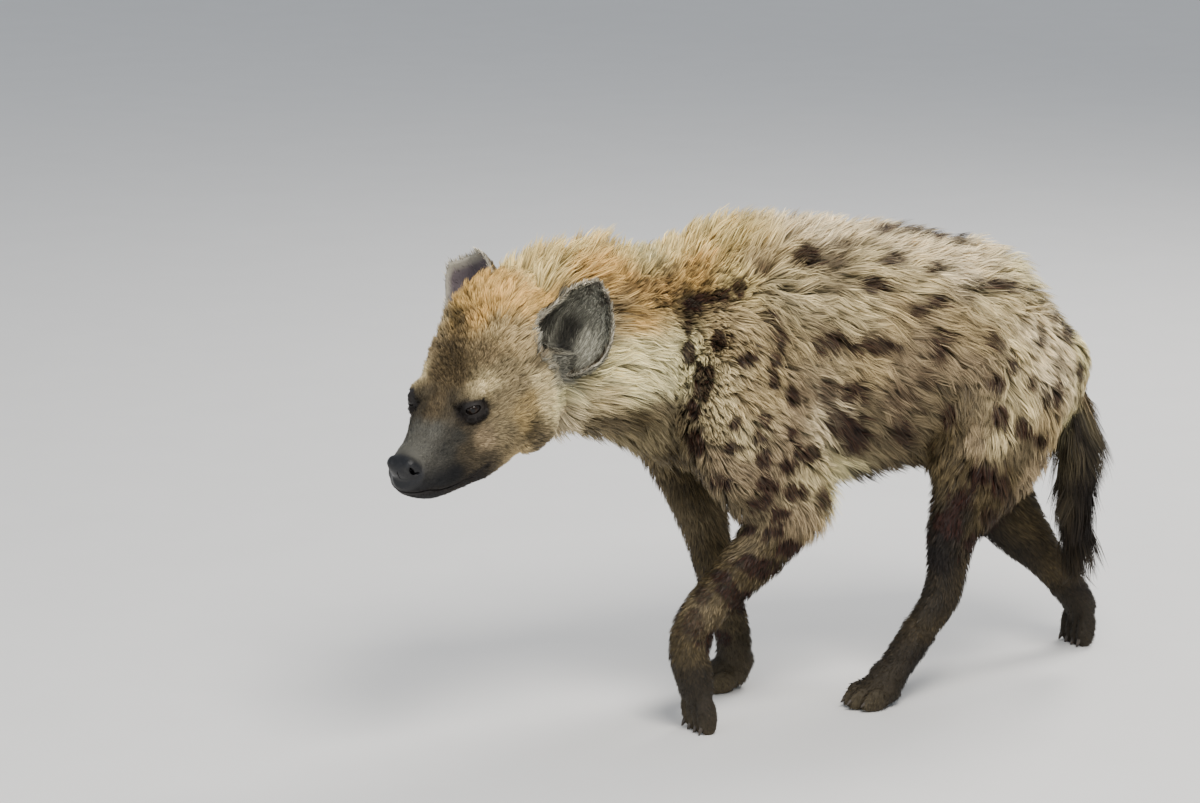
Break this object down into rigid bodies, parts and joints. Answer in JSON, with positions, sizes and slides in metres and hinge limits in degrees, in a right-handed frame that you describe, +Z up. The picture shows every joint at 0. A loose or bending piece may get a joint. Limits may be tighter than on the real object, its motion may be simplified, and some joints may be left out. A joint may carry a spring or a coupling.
{
  "type": "spotted hyena model",
  "caption": "Life-size still model of a walking spotted hyena with a low head, sloping back, shaggy mane and coat, bushy tail and one forefoot trailing on its toes.",
  "frame": {"origin": "centre of the bounding box's underside, on the floor the paws stand on", "axes": "+X forward, towards the head; +Y towards the animal's left side; +Z up"},
  "size_m": [1.3472, 0.3742, 0.7899],
  "materials": {
    "face_fur": "short dense fur, tan with a grey-black muzzle",
    "ear_fur": "short grey-brown fur, bare and dark inside",
    "eye": "glossy dark brown",
    "mane_fur": "long golden mane, cream on the sides of the neck",
    "body_fur": "long shaggy sandy fur with dark brown spots",
    "tail_fur": "long black-brown brush",
    "limb_fur": "shaggy sandy fur with dark spots",
    "lower_leg_fur": "short dark brown fur",
    "paw_fur": "short dark fur, bare pads and blunt claws"
  },
  "bodies": {
    "root": {"head": "face_fur", "ear_left": "ear_fur", "ear_right": "ear_fur", "eye_left": "eye", "eye_right": "eye", "neck": "mane_fur", "torso": "body_fur", "tail": "tail_fur", "upper_arm_left": "limb_fur", "forearm_left": "lower_leg_fur", "forepaw_left": "paw_fur", "upper_arm_right": "limb_fur", "forearm_right": "lower_leg_fur", "forepaw_right": "paw_fur", "thigh_left": "limb_fur", "shank_left": "lower_leg_fur", "hindpaw_left": "paw_fur", "thigh_right": "limb_fur", "shank_right": "lower_leg_fur", "hindpaw_right": "paw_fur"}
  },
  "joints": []
}
